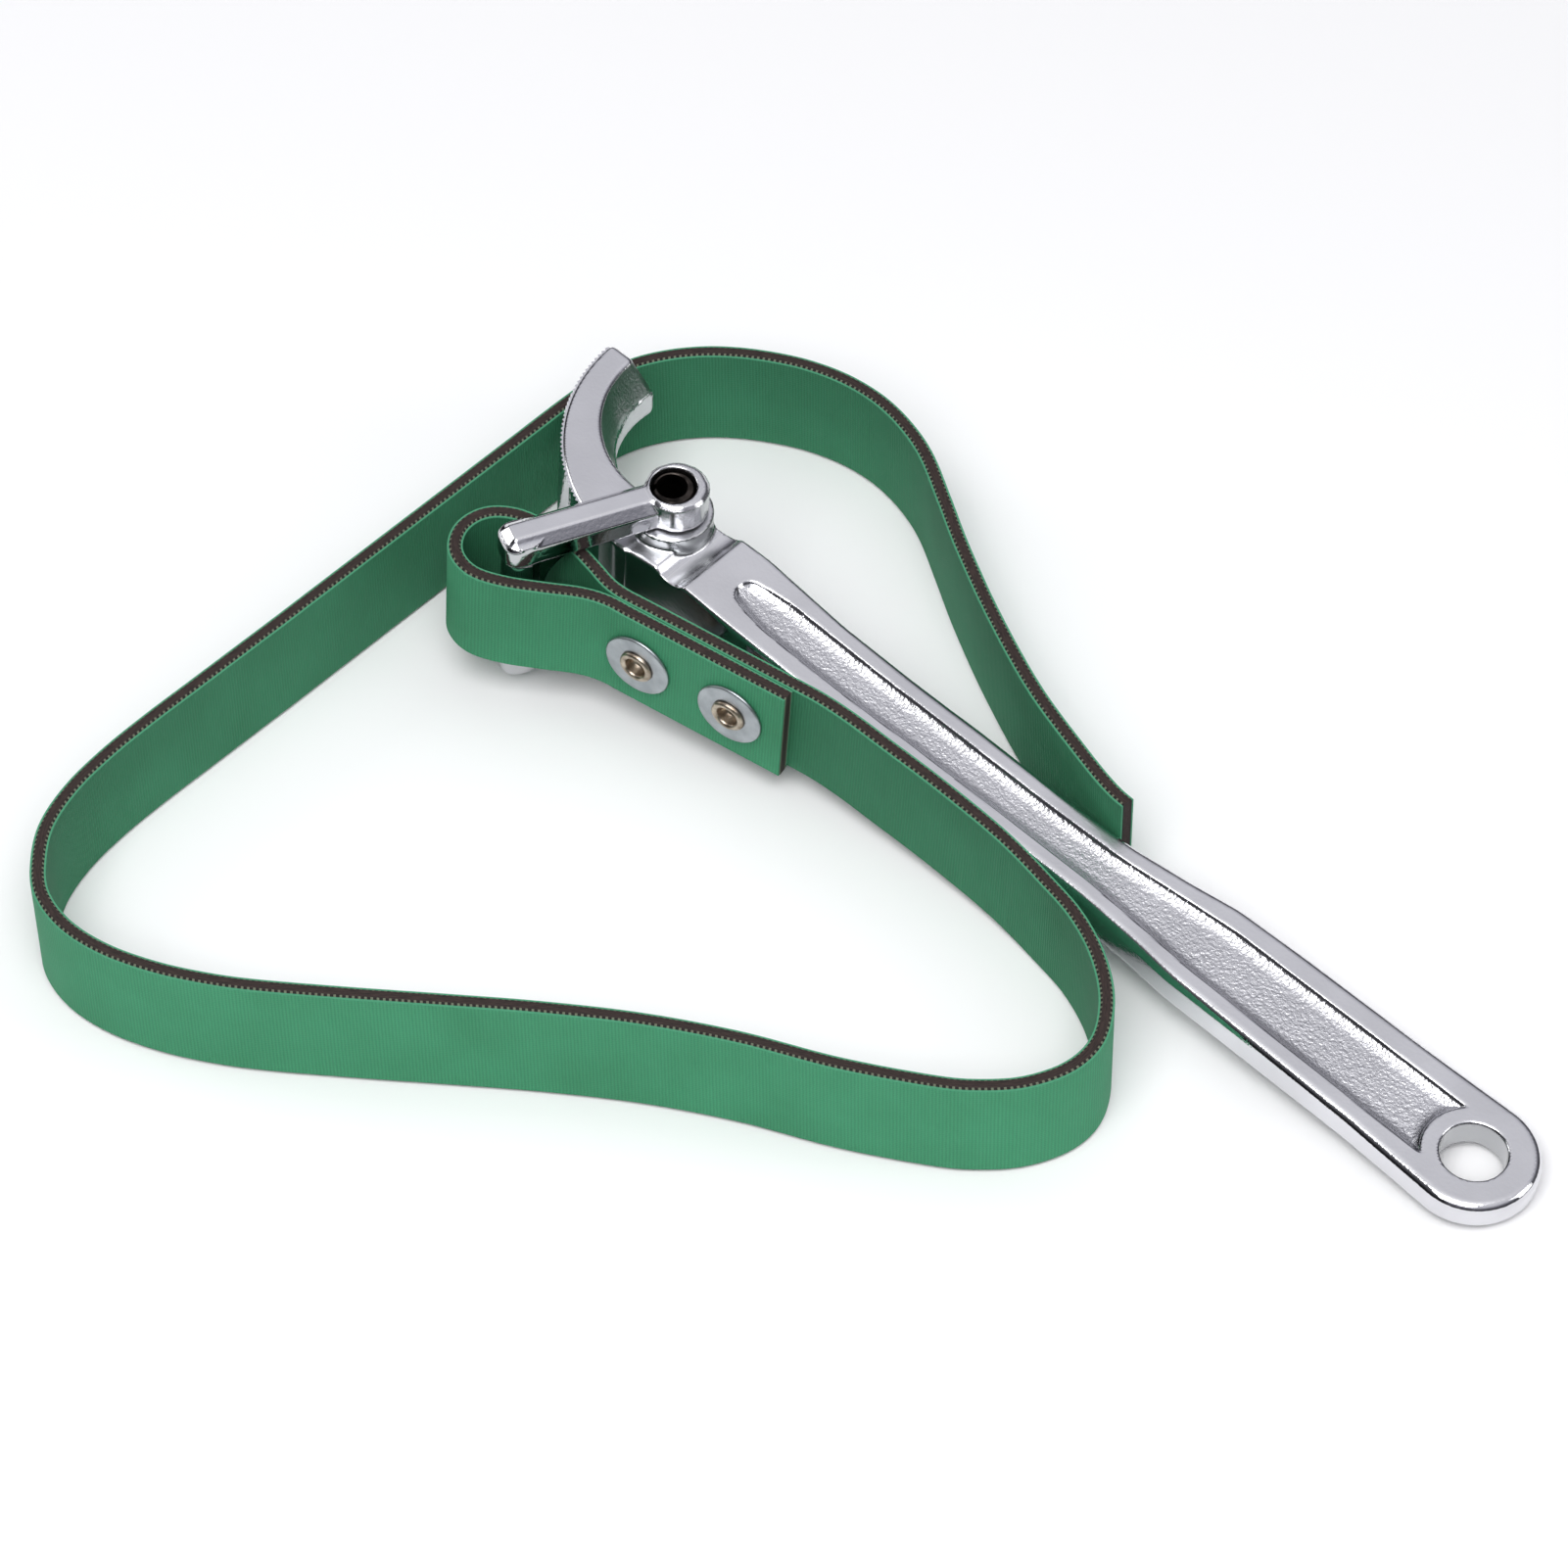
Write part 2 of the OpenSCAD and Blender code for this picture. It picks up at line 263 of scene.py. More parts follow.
# The twelve edges of a grid cell, between corners numbered as in surface_mesh
EDGES = [(0, 1), (2, 3), (4, 5), (6, 7), (0, 2), (1, 3), (4, 6), (5, 7),
         (0, 4), (1, 5), (2, 6), (3, 7)]


def surface_mesh(name, field, low, high, step):
    """A closed mesh of quads on a field's zero surface, with the field's own normals."""
    axes = [np.arange(a, b + step, step) for a, b in zip(low, high)]
    values = field(axes[0][:, None, None], axes[1][None, :, None], axes[2][None, None, :])
    values = np.broadcast_to(values, [len(a) for a in axes]).astype(np.float32)
    inside = values < 0
    corners = [(i, j, k) for i in (0, 1) for j in (0, 1) for k in (0, 1)]
    nx, ny, nz = [n - 1 for n in values.shape]
    count = np.zeros((nx, ny, nz), np.int8)
    for i, j, k in corners:
        count += inside[i:i + nx, j:j + ny, k:k + nz]
    active = (count > 0) & (count < 8)
    cells = np.argwhere(active)
    index = np.full(active.shape, -1, np.int64)
    index[active] = np.arange(len(cells))
    corner_values = np.stack([values[tuple((cells + c).T)] for c in corners], 1)
    total = np.zeros((len(cells), 3))
    hits = np.zeros(len(cells))
    for a, b in EDGES:
        va, vb = corner_values[:, a], corner_values[:, b]
        cross = (va < 0) != (vb < 0)
        t = np.where(cross, va / np.where(cross, va - vb, 1), 0)
        start, end = np.array(corners[a]), np.array(corners[b])
        total += cross[:, None] * (start + t[:, None] * (end - start))
        hits += cross
    points = np.array(low) + (cells + total / hits[:, None]) * step
    reach = 0.02

    def slope(p):
        return np.stack([(field(*(p + reach * e).T) - field(*(p - reach * e).T)) / (2 * reach)
                         for e in np.eye(3)], 1)

    # Three steps bring the points very near the true surface
    for _ in range(3):
        g = slope(points)
        move = field(*points.T)[:, None] * g / np.maximum((g * g).sum(1), 0.2)[:, None]
        points -= np.clip(move, -0.5 * step, 0.5 * step)
    normals = slope(points)
    normals /= np.linalg.norm(normals, axis=1)[:, None]
    faces = []
    for axis in range(3):
        one, two = [a for a in range(3) if a != axis]
        lower = [slice(None)] * 3
        upper = [slice(None)] * 3
        lower[axis], upper[axis] = slice(0, -1), slice(1, None)
        flips = inside[tuple(lower)] != inside[tuple(upper)]
        spots = np.argwhere(flips)
        spots = spots[(spots[:, one] > 0) & (spots[:, two] > 0)]
        spots = spots[(spots[:, one] < index.shape[one]) & (spots[:, two] < index.shape[two])]
        step_one, step_two = np.eye(3, dtype=int)[one], np.eye(3, dtype=int)[two]
        ring = [spots - step_one - step_two, spots - step_two, spots, spots - step_one]
        quad = np.stack([index[tuple(r.T)] for r in ring], 1)
        out = inside[tuple(spots.T)]
        if axis == 1:
            out = ~out
        quad[~out] = quad[~out][:, ::-1]
        faces.append(quad)
    faces = np.concatenate(faces)
    mesh = bpy.data.meshes.new(name)
    mesh.vertices.add(len(points))
    mesh.loops.add(faces.size)
    mesh.polygons.add(len(faces))
    mesh.loops.foreach_set("vertex_index", faces.ravel().astype(np.int32))
    mesh.polygons.foreach_set("loop_start", np.arange(0, faces.size, 4, dtype=np.int32))
    mesh.update()
    return mesh, points, normals


def to_row(points):
    """Points in the sloping head's frame, in mm, to the row frame in metres."""
    x, y, z = np.asarray(points, float).T
    c, s = math.cos(TILT), math.sin(TILT)
    return np.stack([x * c + z * s - MIDDLE[0], y - MIDDLE[1], PIVOT_Z - x * s + z * c], 1) * MM


def tilt_only(vectors):
    """Directions in the sloping head's frame, to the row frame."""
    x, y, z = np.asarray(vectors, float).T
    c, s = math.cos(TILT), math.sin(TILT)
    return np.stack([x * c + z * s, y, -x * s + z * c], 1)


def add_object(name, mesh, material, body, slot, *nodes):
    """Puts a mesh in the scene, riding a body and replacing its CAD nodes, if any."""
    mesh.materials.append(material)
    obj = bpy.data.objects.new(name, mesh)
    bpy.context.scene.collection.objects.link(obj)
    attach(obj, body)
    if nodes:
        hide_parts(*nodes)


def forged(name, field, low, high, step, dull, turn=0.0):
    """A mesh of a forging, in the row frame, with its faces marked for chrome(). The
    field is turned about the pivot by the given angle."""
    mesh, points, normals = surface_mesh(name, field, low, high, step)
    marks = dull(points, normals)
    c, s = math.cos(turn), math.sin(turn)
    spin = np.array([[c, -s, 0], [s, c, 0], [0, 0, 1]])
    points, normals = points @ spin.T, normals @ spin.T
    mesh.vertices.foreach_set("co", to_row(points).astype(np.float32).ravel())
    mesh.polygons.foreach_set("use_smooth", np.ones(len(mesh.polygons), bool))
    for key, values in zip(("dull", "cast", "painted_shade"), marks):
        mesh.attributes.new(key, "FLOAT", "POINT").data.foreach_set(
            "value", values.astype(np.float32))
    mesh.update()
    mesh.normals_split_custom_set_from_vertices(tilt_only(normals).tolist())
    return mesh


# ---------------------------------------------------------------- handle

HOLE_X = 212
HOLE_R = 6.6
END_R = 13.4
GRIP_START = -3.4
# Columns: distance along the grip, and its two sides
GRIP = smooth_table([
    [-12, -13.5, -3], [-3.5, -12.8, 1], [9, -11.4, 6.4], [21, -11.3, 7.4], [42, -11, 6.8],
    [56, -10.6, 7.3], [78, -9.5, 8], [100, -8.8, 8.1], [118, -8.8, 8.5], [133, -9.8, 10.4],
    [143, -10.9, 12.1], [160, -11.3, 12.6], [190, -12, 12.9], [201, -12.7, 13.2],
    [HOLE_X, -END_R, END_R], [HOLE_X + 4, -END_R, END_R]])
# Distance along the grip, and half its thickness
HALVES = smooth_table([
    [-12, 11], [9, 11], [16, 10.5], [25, 9.5], [60, 6.5], [100, 4.9], [150, 4.2],
    [200, 3.4], [230, 3.4]], blur=8)
# Distance along the grip, and the two sides of its sunk panel
PANEL = smooth_table([
    [20, -4.4, 0.4], [25, -5.8, 1.7], [31, -6.6, 2.6], [48, -6.3, 3], [70, -5.2, 3.6],
    [100, -4.6, 3.9], [118, -4.7, 4.3], [133, -5.6, 5.8], [146, -6.6, 7], [190, -7.4, 7.3],
    [210, -7.6, 7.2]])
PANEL_DEPTH = 1.6
PANEL_START = 20.8
# Radius of the ring of full thickness round the hanging hole
HOLE_RING = 10.2
HOOK_C = (-3.5, 24.5)
HOOK_R = 37.3
HOOK_IN_C = (-10.5, 25.8)
HOOK_IN_R = 24.7
HOOK_TIP_Y = 25.5
HOOK_H = 22
# How far the hook's inner wall and tip stand out at the flash line, and the flash's lip
HOOK_SWELL = 3.0
TIP_SWELL = 3.2
FLASH = 0.4
# How the hook's outer face flares to its top: its centre's shift, and its radius's growth
FLARE = (2.0, 2.5, 3.1)
# The groove's radius, and its middle line's place along the grip and height
GROOVE = (4.4, 10.2, 13.4)
BOSS_R = 8.5
BOSS_H = 28.2
PIN_R = 4.5
BORE_R = 4.56
TOOTH = 0.5


def pebble(x, y):
    """A shallow random dimpling, from crossed waves 1.6 to 2.6 mm long."""
    total = 0
    for k, turn in enumerate([0.3, 1.2, 2.2, 2.9, 0.8, 1.8]):
        u = x * math.cos(turn) + y * math.sin(turn)
        v = y * math.cos(turn) - x * math.sin(turn)
        wave = 1.6 + 0.37 * (k * 5 % 6) / 2
        total = total + np.sin(2 * math.pi * u / wave + 1.9 * k + 2.1 * np.sin(v / (1.1 + 0.3 * k)))
    return total / 6


def panel_plan(x, y):
    """Distance into the sunk panel in plan, negative inside it."""
    near = np.interp(x, PANEL[0], PANEL[1])
    far = np.interp(x, PANEL[0], PANEL[2])
    sides = np.maximum(y - far, near - y)
    mouth = round_cross(sides, PANEL_START - x, 2.4)
    ring = HOLE_RING - np.hypot(x - HOLE_X, y)
    return round_cross(np.maximum(mouth, x - HOLE_X + 4), ring, 0.6)


def hook_outer(z):
    """Centre and radius of the hook's outer face, which flares a little to its top."""
    t = (z + HOOK_H / 2) / HOOK_H
    return HOOK_C[0] + FLARE[0] * t, HOOK_C[1] + FLARE[1] * t, HOOK_R - TOOTH + FLARE[2] * t


def hook_field(x, y, z):
    """The hook. Its inner wall stands out to a ragged line where the flash was sheared
    off, and is upright below that line."""
    up = np.abs(z)
    angle = np.arctan2(y - HOOK_IN_C[1], x - HOOK_IN_C[0])
    ragged = 1.0 + 0.5 * np.sin(8 * angle + 1) + 0.22 * np.sin(19 * angle)
    rise = np.clip((z - ragged) / (HOOK_H / 2 - ragged), 0, 1)
    drop = np.clip((-z - 5) / (HOOK_H / 2 - 5), 0, 1)
    swell = 1 - np.where(z > 0, rise, drop)
    lip = FLASH * np.clip((ragged - z) / 0.5, 0, 1) * np.clip((z + 6) / 2, 0, 1)
    cx, cy, r = hook_outer(z)
    outer = np.hypot(x - cx, y - cy) - r
    wall = np.hypot(x - HOOK_IN_C[0], y - HOOK_IN_C[1])
    inner = HOOK_IN_R - HOOK_SWELL * swell - lip - wall
    tip = y - HOOK_TIP_Y - TIP_SWELL * swell - lip
    hook = round_cross(round_cross(outer, tip, 1.2), inner, 1.3)
    hook = np.maximum(hook, x + 1)
    return round_cross(hook, up - HOOK_H / 2, 0.8)


def handle_field(x, y, z):
    """The whole handle: grip, hook and boss, with the pin's bore and the hanging hole."""
    up = np.abs(z)
    half = np.interp(x, HALVES[0], HALVES[1])
    near = np.interp(x, GRIP[0], GRIP[1])
    far = np.interp(x, GRIP[0], GRIP[2])
    sides = np.maximum(np.maximum(y - far, near - y), x - HOLE_X)
    plan = np.minimum(sides, np.hypot(x - HOLE_X, y) - END_R)
    plan = soft_max(plan, GRIP_START - x, 1)
    grip = round_cross(plan, up - half, np.clip(0.6 + 0.02 * x, 0.9, 2.0))
    # The sunk panel: a dished rough floor between steep walls with a crisp lip
    lift = half - up
    floor = half - PANEL_DEPTH + 0.045 * pebble(x, y)
    sink = soft_max(panel_plan(x, y) + 0.6 * lift, floor - up, 1.9)
    grip = soft_max(grip, -sink, 0.35)
    body = soft_min(grip, hook_field(x, y, z), 1.2)
    # The boss, and the groove across the grip behind it
    radius = np.hypot(x, y)
    boss = round_cross(radius - BOSS_R, up - BOSS_H / 2, 0.35)
    groove = GROOVE[0] - np.hypot(x - GROOVE[1], up - GROOVE[2])
    body = soft_max(body, groove, 0.5)
    body = soft_min(body, boss, 1.0)
    # The pin's bore and the hanging hole
    body = round_cross(body, BORE_R - radius, 0.3)
    hole = HOLE_R - np.hypot(x - HOLE_X, y)
    return round_cross(body, hole, 0.6)


def handle_dull(points, normals):
    """Flat faces, the panel, the boss and the head's walls are satin, and the rounded
    edges are bright. The second mark is rough cast metal, and the third is painted shade:
    a darker base colour on the steep walls of the hook, the head and the hanging hole."""
    x, y, z = points.T
    steep = np.clip((0.75 - np.abs(normals[:, 2])) / 0.2, 0, 1)
    flat = np.clip((np.abs(normals[:, 2]) - 0.9) / 0.06, 0, 1)
    depth = np.interp(x, HALVES[0], HALVES[1]) - np.abs(z)
    cast = np.clip((depth - 0.5) / 0.7, 0, 1) * (panel_plan(x, y) < 0)
    inner = steep * (np.hypot(x - HOOK_IN_C[0], y - HOOK_IN_C[1]) < HOOK_IN_R + 0.6) * (x < -4)
    head = steep * np.clip((30 - x) / 14, 0, 1) * (x > -14) * (y < 12)
    upper = np.clip((z - 0.5) / 1.5, 0.25, 1)
    boss = (np.hypot(x, y) < 15) * np.clip((np.abs(z) - 8) / 2, 0, 1)
    hole = steep * (np.hypot(x - HOLE_X, y) < 8)
    # Painted shade on the steep walls of the hook's inner side (most on its upper part), the head
    # and the hanging hole
    painted_shade = np.maximum(0.8 * inner * upper, np.maximum(0.78 * head, 0.5 * hole))
    dull = np.maximum(np.maximum(flat * 0.9, cast * 0.7), 0.6 * np.maximum(boss, head))
    return np.maximum(dull, 0.8 * inner), np.maximum(cast, 0.35 * inner), painted_shade


def make_teeth(material):
    """The fine teeth across the hook's outer face, which bite on the belt."""
    pitch, tall = 1.2, HOOK_H / 2 - 0.3
    # Turns of the first and last tooth, at the strip's lower and upper edge
    ends = [(math.radians(180.5), math.radians(262)), (math.radians(183.4), math.radians(259.7))]
    count = 2 * round((ends[0][1] - ends[0][0]) * HOOK_R / pitch)
    points = []
    for z, (start, end) in zip((-tall, tall), ends):
        cx, cy, r = hook_outer(z)
        turns = [start + (end - start) * k / count for k in range(count + 1)]
        rim = [(r + (TOOTH if k % 2 else 0.02), t) for k, t in enumerate(turns)]
        ring = rim + [(r - 1, t) for t in turns[::-1]]
        points += [(cx + d * math.cos(t), cy + d * math.sin(t), z) for d, t in ring]
    n = len(points) // 2
    faces = [(i, (i + 1) % n, n + (i + 1) % n, n + i) for i in range(n)]
    for i in range(count):
        quad = (i, i + 1, n - 2 - i, n - 1 - i)
        faces += [quad[::-1], tuple(n + q for q in quad)]
    mesh = bpy.data.meshes.new("hook_teeth")
    mesh.from_pydata(to_row(points).tolist(), [], faces)
    mesh.update()
    add_object("hook_teeth", mesh, material, "handle", "handle_chrome")


def make_handle(material):
    mesh = forged("handle_forging", handle_field, (-42.2, -14.8, -15.4), (227, 32, 15.4),
                  0.5, handle_dull)
    add_object("handle_forging", mesh, material, "handle", "handle_chrome", "handle")


# ---------------------------------------------------------------- shackle

BAR_X = 33
BAR_R = 4
ARM_T = 7
ARM_W = 8.4
BEVEL = 2.2
# How far the arm's top lies below the eye's, and the bar's end below that of the eye
ARM_DROP = 0.35
BAR_DROP = 2
# Radius of the web's hollow side, and half the web's thickness
GUSSET = 9
WEB_HALF = 3.4
# Shift of the eye's outer wall from its bore
EYE_SHIFT = (-0.7, 0.25)


def shackle_field(x, y, z):
    """The shackle, with its arms along +X."""
    up = np.abs(z)
    top = SHACKLE_H / 2
    bottom = top - ARM_T
    radius = np.hypot(x, y)
    layer = np.maximum(up - top, bottom - up)
    # The eye stands back from the arm a little, and has eight slight flats
    cx, cy = x - EYE_SHIFT[0], y - EYE_SHIFT[1]
    around = np.hypot(cx, cy)
    flats = around * np.cos((np.arctan2(cy, cx) + math.pi / 8) % (math.pi / 4) - math.pi / 8)
    collar = np.maximum(around - EYE_R + 0.25, flats - EYE_R + 0.35)
    collar = np.maximum(collar, (collar + up - top + 0.9) * math.sqrt(0.5))
    eye = round_cross(collar, layer, 0.3)
    # Each arm has a flat top 4 mm wide between 45 degree bevels, and a square end
    plan = round_cross(np.abs(y) - ARM_W / 2, x - BAR_X - ARM_W / 2, 2.6)
    plan = np.maximum(plan, -x)
    bevel = (plan + up - top + ARM_DROP + BEVEL) * math.sqrt(0.5)
    arm = round_cross(plan, np.maximum(up - top + ARM_DROP, bottom - up), 0.5)
    arm = soft_max(arm, bevel, 0.3)
    bar = np.maximum(np.hypot(x - BAR_X, y) - BAR_R, up - top + BAR_DROP)
    # The web between the arm and the bar
    root = BAR_X - BAR_R - GUSSET
    fillet = GUSSET - np.hypot(x - root, up - (bottom - GUSSET))
    gusset = np.maximum(np.maximum(np.abs(y) - WEB_HALF, x - BAR_X), fillet)
    gusset = np.maximum(gusset, np.maximum(bottom - GUSSET - up, up - bottom - 1))
    gusset = np.maximum(gusset, root - x)
    body = soft_min(eye, arm, 0.5)
    body = soft_min(body, soft_min(bar, gusset, 0.8), 1.0)
    return round_cross(body, PIN_R + 0.25 - radius, 0.45)


def shackle_dull(points, normals):
    """The same three marks for the shackle, which has no rough cast face. The third, painted
    shade, darkens every steep face a little.
    """
    flat = np.clip((np.abs(normals[:, 2]) - 0.93) / 0.05, 0, 1)
    steep = np.clip((0.7 - np.abs(normals[:, 2])) / 0.2, 0, 1)
    eye = np.hypot(points[:, 0], points[:, 1]) < 8
    return np.maximum(flat * 0.75, 0.5 * eye), 0 * flat, 0.35 * steep


def make_shackle(material):
    mesh = forged("shackle_forging", shackle_field, (-7.6, -7.6, -22.4), (38.2, 7.6, 22.4),
                  0.4, shackle_dull, ARM_DIR)
    add_object("shackle_forging", mesh, material, "shackle", "shackle_chrome", "shackle")


# ---------------------------------------------------------------- belt

BELT_W = 25
BELT_T = 3.2
PLY_STEP = 0.6
# Belt lengths in mm for one unit of the texture's two coordinates
MM_ALONG = 100
MM_ACROSS = 10
# The belt's middle line: first in the sloping head's frame,
LOOP_ROUTE = [
    (48.5, -17.39), (40, -18.98), (32, -20.48), (24, -21.97), (16, -23.47),
    (11, -24.41), (6, -25.34), (1, -27.6), (-5, -31.9), (-12, -36.6), (-18.6, -39.2),
    (-24.6, -37.6), (-27.9, -32.4), (-27.2, -26.4), (-22.8, -22.2), (-15.5, -20.1),
    (-8, -19.9), (-2, -20.8), (3, -21.8), (7, -21.75), (11.5, -20.91), (16, -20.07),
    (24, -18.57), (32, -17.08), (40, -15.58), (48.5, -14), (54, -13.1), (61, -12.6),
    (70, -12.5), (83, -12.4), (97, -12.8), (106, -13.6)]
# and then standing on the table
TABLE_ROUTE = [
    (115, -15.1), (125, -17.6), (135, -22.4), (143.6, -29.4), (149, -38), (149.5, -46.4),
    (145.8, -55), (139.8, -61.6), (132.4, -67), (116, -76), (98, -84), (81, -93.4),
    (65, -104.2), (50, -115.4), (35, -126.8), (20, -137.8), (11, -143.4), (2, -147.8),
    (-8, -151), (-18, -151.8), (-27, -149.4), (-33.4, -144.2), (-39, -136.8),
    (-42.4, -127), (-43.9, -116), (-44.3, -104), (-44.2, -92), (-44.1, -80), (-44, -68),
    (-44, -60), (-44, -44), (-44, -30), (-44, -15), (-44, 0), (-44, 15), (-43.5, 25),
    (-41.6, 32.5), (-38, 39.2), (-33.2, 45), (-27.5, 49.8), (-21, 53.8), (-14, 57),
    (-5.4, 59.2), (4, 59.5), (13.2, 57.6), (22, 54), (33, 47.2), (45, 39.6), (62, 30),
    (81, 20.8), (99, 14.4), (109, 11.4), (114.3, 10.6)]
# Share of the head's slope left in the belt's last sloping and first standing points
EASE = {-3: 0.95, -2: 0.8, -1: 0.6, 0: 0.4, 1: 0.2, 2: 0.06}
# Where the visible strip is cut on the front and back runs
FRONT_CUT = (65, -104.2)
BACK_CUT = (-44.2, -92)


def curve_points(rows, n):
    """The smooth curve through a route's points, with n steps between neighbours."""
    rows = np.array(rows, float)
    out = []
    t = (np.arange(n) / n)[:, None]
    for i in range(len(rows) - 1):
        a, b = rows[max(i - 1, 0)], rows[i]
        c, d = rows[i + 1], rows[min(i + 2, len(rows) - 1)]
        out.append(0.5 * (2 * b + (c - a) * t + (2 * a - 5 * b + 4 * c - d) * t ** 2
                          + (3 * b - a - 3 * c + d) * t ** 3))
    out.append(rows[-1:])
    return np.concatenate(out)


def belt_line():
    """The whole belt's middle line, evenly stepped: positions, up vectors and lengths."""
    c, s = math.cos(TILT), math.sin(TILT)
    rows = []
    n = len(LOOP_ROUTE)
    for i, (x, y) in enumerate(LOOP_ROUTE):
        slope = EASE.get(i - n, 1)
        rows.append((x * c, y, PIVOT_Z - x * s, slope))
    for i, (x, y) in enumerate(TABLE_ROUTE):
        rows.append((x, y, BELT_W / 2, EASE.get(i, 0)))
    fine = curve_points(rows, 12)
    run = np.concatenate([[0], np.cumsum(np.linalg.norm(np.diff(fine[:, :3], axis=0), axis=1))])
    even = np.linspace(0, run[-1], int(run[-1] / PLY_STEP) + 1)
    line = np.stack([np.interp(even, run, column) for column in fine.T], 1)
    kernel = np.hanning(9)
    kernel /= kernel.sum()
    for k in range(4):
        padded = np.pad(line[:, k], 4, "edge")
        eased = np.convolve(padded, kernel, "valid")
        line[6:-6, k] = eased[6:-6]
    up = np.stack([s * line[:, 3], np.zeros(len(line)), 1 + (c - 1) * line[:, 3]], 1)
    up /= np.linalg.norm(up, axis=1)[:, None]
    return line[:, :3], up, even


def belt_profile(odd):
    """One ring of the belt: (across, up) round its section, 30 places in all. The cut
    plies' teeth stand and sink by turns along the belt."""
    half, tall = BELT_T / 2, BELT_W / 2
    tooth = 1.14 if odd else 1.24
    sink = 0.2 if odd else 0.04
    top = [(-half, tall - 0.45), (-half + 0.1, tall - 0.3), (-tooth, tall - 0.3 - sink / 2),
           (-0.78, tall - sink / 3), (-0.3, tall - 0.02), (0.3, tall),
           (0.78, tall - sink / 3), (tooth, tall - 0.3 - sink / 2),
           (half - 0.1, tall - 0.3), (half, tall - 0.45)]
    sides = (8, 4, 0, -4, -8)
    ring = top + [(half, u) for u in sides]
    ring += [(-a, -u) for a, u in top] + [(-half, -u) for u in sides]
    return ring


def belt_strip(name, line, up, along, first, last):
    """A closed strip of the belt between two places on its line. Material 0 is its outer
    face, 1 its cut edges and ends, and 2 its inner face."""
    n_ring = len(belt_profile(0))
    n_edge = 9
    places, uvs = [], []
    heading = np.gradient(line, axis=0)
    heading /= np.linalg.norm(heading, axis=1)[:, None]
    left = np.cross(up, heading)
    left /= np.linalg.norm(left, axis=1)[:, None]
    for i in range(first, last + 1):
        for a, u in belt_profile(i % 2):
            places.append(line[i] + a * left[i] + u * up[i])
            uvs.append((along[i] / MM_ALONG, a / MM_ACROSS, u / MM_ACROSS))
    mesh = bpy.data.meshes.new(name)
    count = last - first + 1
    faces = []
    for i in range(count - 1):
        for k in range(n_ring):
            m = (k + 1) % n_ring
            a, b = i * n_ring, (i + 1) * n_ring
            faces.append((a + k, b + k, b + m, a + m))
    faces.append(tuple(range(n_ring)))
    faces.append(tuple(range((count - 1) * n_ring, count * n_ring))[::-1])
    places = np.array(places)
    places[:, :2] -= MIDDLE
    mesh.from_pydata((places * MM).tolist(), [], faces)
    uv = mesh.uv_layers.new(name="belt")
    edge = mesh.uv_layers.new(name="edge")
    for poly in mesh.polygons:
        k = poly.index % n_ring
        capped = poly.index >= len(faces) - 2
        on_edge = capped or k % (n_ring // 2) < n_edge
        poly.material_index = 1 if on_edge else 0 if k < n_ring // 2 else 2
        poly.use_smooth = not on_edge
        for loop in poly.loop_indices:
            s, a, u = uvs[mesh.loops[loop].vertex_index]
            uv.data[loop].uv = (s, u)
            edge.data[loop].uv = (s, a)
    mesh.update()
    return mesh


def shade_evenly(mesh, line, up):
    """Gives the belt's faces the normals of its whole line, so that the ends of two
    strips shade alike where they meet."""
    heading = np.gradient(line, axis=0)
    left = np.cross(up, heading)
    left /= np.linalg.norm(left, axis=1)[:, None]
    uv = mesh.uv_layers["belt"].data
    normals = []
    for poly in mesh.polygons:
        for loop in poly.loop_indices:
            if poly.material_index == 1:
                normals.append((0, 0, 0))
                continue
            at = min(len(line) - 1, max(0, round(uv[loop].uv[0] * MM_ALONG / PLY_STEP)))
            side = Vector(left[at])
            normals.append(side if side.dot(poly.normal) > 0 else -side)
    mesh.normals_split_custom_set(normals)


def nearest(line, place):
    """The number of the line's point that is nearest to a place in plan."""
    return int(np.argmin(np.hypot(line[:, 0] - place[0], line[:, 1] - place[1])))


